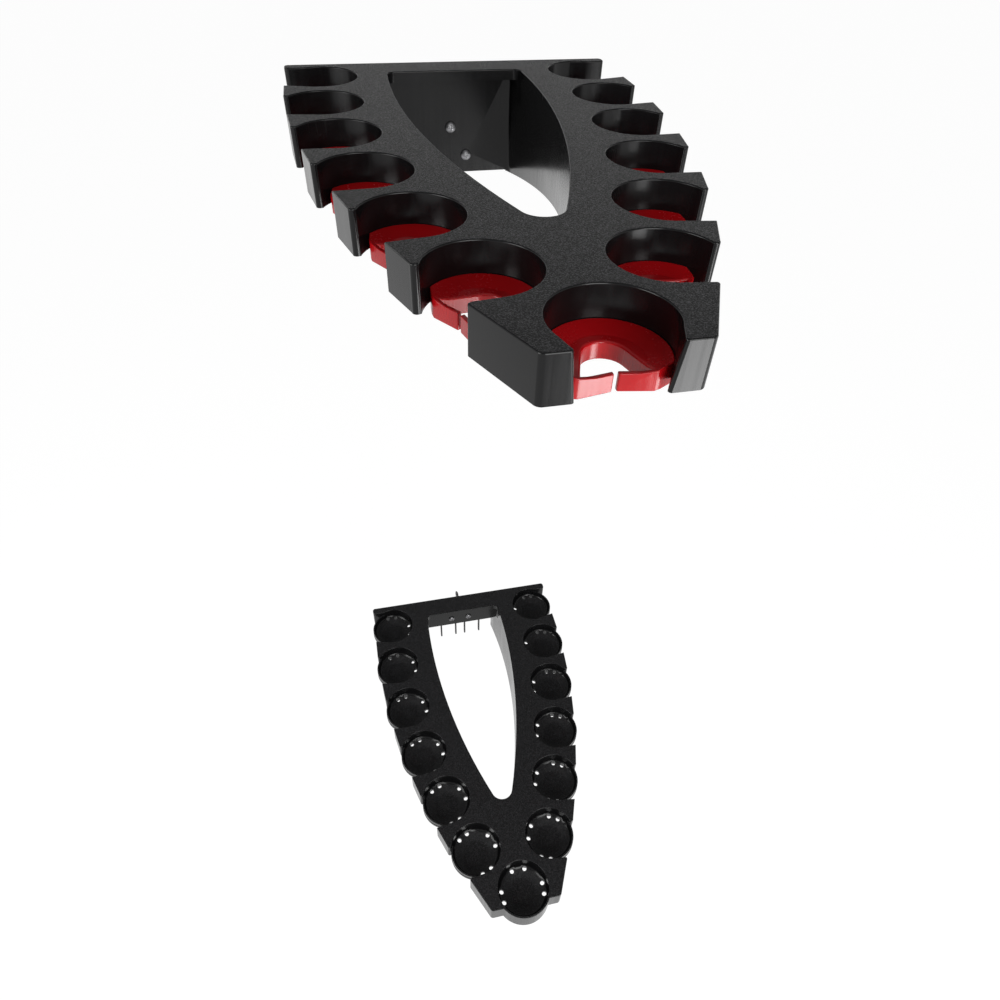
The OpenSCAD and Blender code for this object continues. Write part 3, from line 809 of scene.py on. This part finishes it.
class RODRACK_OT_stage(bpy.types.Operator):
    """Adds the floor, the light and the camera"""
    bl_idname = "rodrack.stage"
    bl_label = "Stage"

    def floor(self, s):
        """A pale floor that takes a soft shadow and shows as white background."""
        low, half = CAD_BOX[0].z - s.floor_drop, FLOOR_HALF
        data = bpy.data.meshes.new("floor")
        data.from_pydata([(-half, -half, low), (half, -half, low), (half, half, low), (-half, half, low)],
                         [], [(0, 1, 2, 3)])
        floor = new_object("floor", data)
        material, tree, shader = new_material("floor_paint")
        feed(tree, shader, {"Base Color": toned(s.floor_colour), "Roughness": 0.7, "Specular IOR Level": 0.0})
        glow = add(tree, "ShaderNodeEmission", {"Color": WHITE, "Strength": FLOOR_GLOW})
        share = times(tree, self.background_rays(tree), FLOOR_GLOW_SHARE)
        feed(tree, tree.nodes["Material Output"], {
            "Surface": mix_shaders(tree, share, shader.outputs["BSDF"], glow.outputs["Emission"])})
        data.materials.append(material)

    def background_rays(self, tree):
        """1 for the rays that show the background: straight, mirrored or through glass."""
        rays = add(tree, "ShaderNodeLightPath").outputs
        mirrored = maths(tree, "MAXIMUM", rays["Is Glossy Ray"], rays["Is Transmission Ray"])
        return maths(tree, "MAXIMUM", rays["Is Camera Ray"], mirrored)

    def world(self, s):
        """Dim even light, with a white background that darkens to the ceiling where it is mirrored."""
        world = bpy.data.worlds.new("studio")
        bpy.context.scene.world = world
        world.use_nodes = True
        tree = world.node_tree
        tree.nodes.clear()
        room = add(tree, "ShaderNodeBackground", {"Color": WHITE, "Strength": s.room_light})
        facing = add(tree, "ShaderNodeTexCoord").outputs["Generated"]
        rise = add(tree, "ShaderNodeSeparateXYZ", {"Vector": facing}).outputs["Z"]
        mirrored = spread(tree, rise, (-0.1, 0.8), (1.0, s.ceiling))
        seen = add(tree, "ShaderNodeLightPath").outputs["Is Camera Ray"]
        white = add(tree, "ShaderNodeBackground", {
            "Color": WHITE, "Strength": maths(tree, "MAXIMUM", mirrored, seen)})
        add(tree, "ShaderNodeOutputWorld", {"Surface": mix_shaders(
            tree, self.background_rays(tree), room.outputs["Background"], white.outputs["Background"])})

    def lamp(self, name, power, place, aim, size):
        """A soft lamp that the camera doesn't see."""
        light = bpy.data.lights.new(name, "AREA")
        light.shape = "RECTANGLE"
        light.size, light.size_y = size
        light.energy = power
        lamp = new_object(name, light)
        lamp.location = place
        lamp.rotation_euler = (Vector(aim) - Vector(place)).to_track_quat("-Z", "Y").to_euler()
        lamp.visible_camera = False

    def camera(self, s):
        """The camera, turned by its yaw, pitch and roll from a level view along Y."""
        yaw, pitch, roll = s.camera_yaw, s.camera_pitch, s.camera_roll
        ahead = Vector((math.sin(yaw) * math.cos(pitch), math.cos(yaw) * math.cos(pitch), -math.sin(pitch)))
        right = Vector((math.cos(yaw), -math.sin(yaw), 0))
        up = right.cross(ahead)
        side = right * math.cos(roll) + up * math.sin(roll)
        head = up * math.cos(roll) - right * math.sin(roll)
        data = bpy.data.cameras.new("camera")
        data.lens, data.sensor_width = s.lens, SENSOR_WIDTH
        data.clip_start, data.clip_end = 0.01, 50.0
        camera = new_object("camera", data)
        turned = Matrix((side, head, -ahead)).transposed().to_4x4()
        camera.matrix_world = Matrix.Translation(s.camera_place) @ turned
        bpy.context.scene.camera = camera

    def execute(self, context):
        s = context.scene.rod_rack.stage
        self.floor(s)
        self.world(s)
        for name, power, place, aim, size in (
                ("front_light", s.front_power, (0.35, -1.9, 0.45), (0, -0.25, -0.1), (1.1, 1.0)),
                ("top_light", s.top_power, (-0.1, -0.5, 1.7), (0, -0.2, 0), (1.2, 0.9)),
                ("low_light", s.low_power, (0.62, -1.15, -0.62), (0, -0.38, 0.05), (0.5, 0.5)),
                ("left_light", s.left_power, (-1.3, -0.7, 0.25), (0, -0.25, 0.05), (0.8, 0.8))):
            self.lamp(name, power, place, aim, size)
        self.camera(s)
        return {"FINISHED"}


class RODRACK_PT_panel(bpy.types.Panel):
    """Lists the pieces of the rack"""
    bl_label = "Rod Rack"
    bl_idname = "RODRACK_PT_panel"
    bl_space_type = "VIEW_3D"
    bl_region_type = "UI"
    bl_category = "Rod Rack"

    def draw(self, context):
        s = context.scene.rod_rack
        for title, group, operators in (
                ("Holders", s.holders, ("rodrack.upper_holder", "rodrack.lower_holder")),
                ("Inserts", s.inserts, ("rodrack.inserts",)),
                ("Screws", s.screws, ("rodrack.screws",)),
                ("Stage", s.stage, ("rodrack.stage",))):
            box = self.layout.box()
            box.label(text=title)
            for name in group.bl_rna.properties.keys():
                if name not in ("rna_type", "name"):
                    box.prop(group, name)
            for operator in operators:
                box.operator(operator)


CLASSES = (
    HolderSettings, InsertSettings, ScrewSettings, StageSettings, RodRackSettings,
    RODRACK_OT_upper_holder, RODRACK_OT_lower_holder, RODRACK_OT_inserts, RODRACK_OT_screws,
    RODRACK_OT_stage, RODRACK_PT_panel,
)


def register():
    for cls in CLASSES:
        bpy.utils.register_class(cls)
    bpy.types.Scene.rod_rack = PointerProperty(type=RodRackSettings)


def unregister():
    del bpy.types.Scene.rod_rack
    for cls in reversed(CLASSES):
        bpy.utils.unregister_class(cls)


def main():
    """Builds the stage and every piece."""
    register()
    bpy.context.scene.view_settings.view_transform = "Standard"
    bpy.ops.rodrack.stage()
    bpy.ops.rodrack.upper_holder()
    bpy.ops.rodrack.lower_holder()
    bpy.ops.rodrack.inserts()
    bpy.ops.rodrack.screws()


if __name__ == "__main__":
    main()
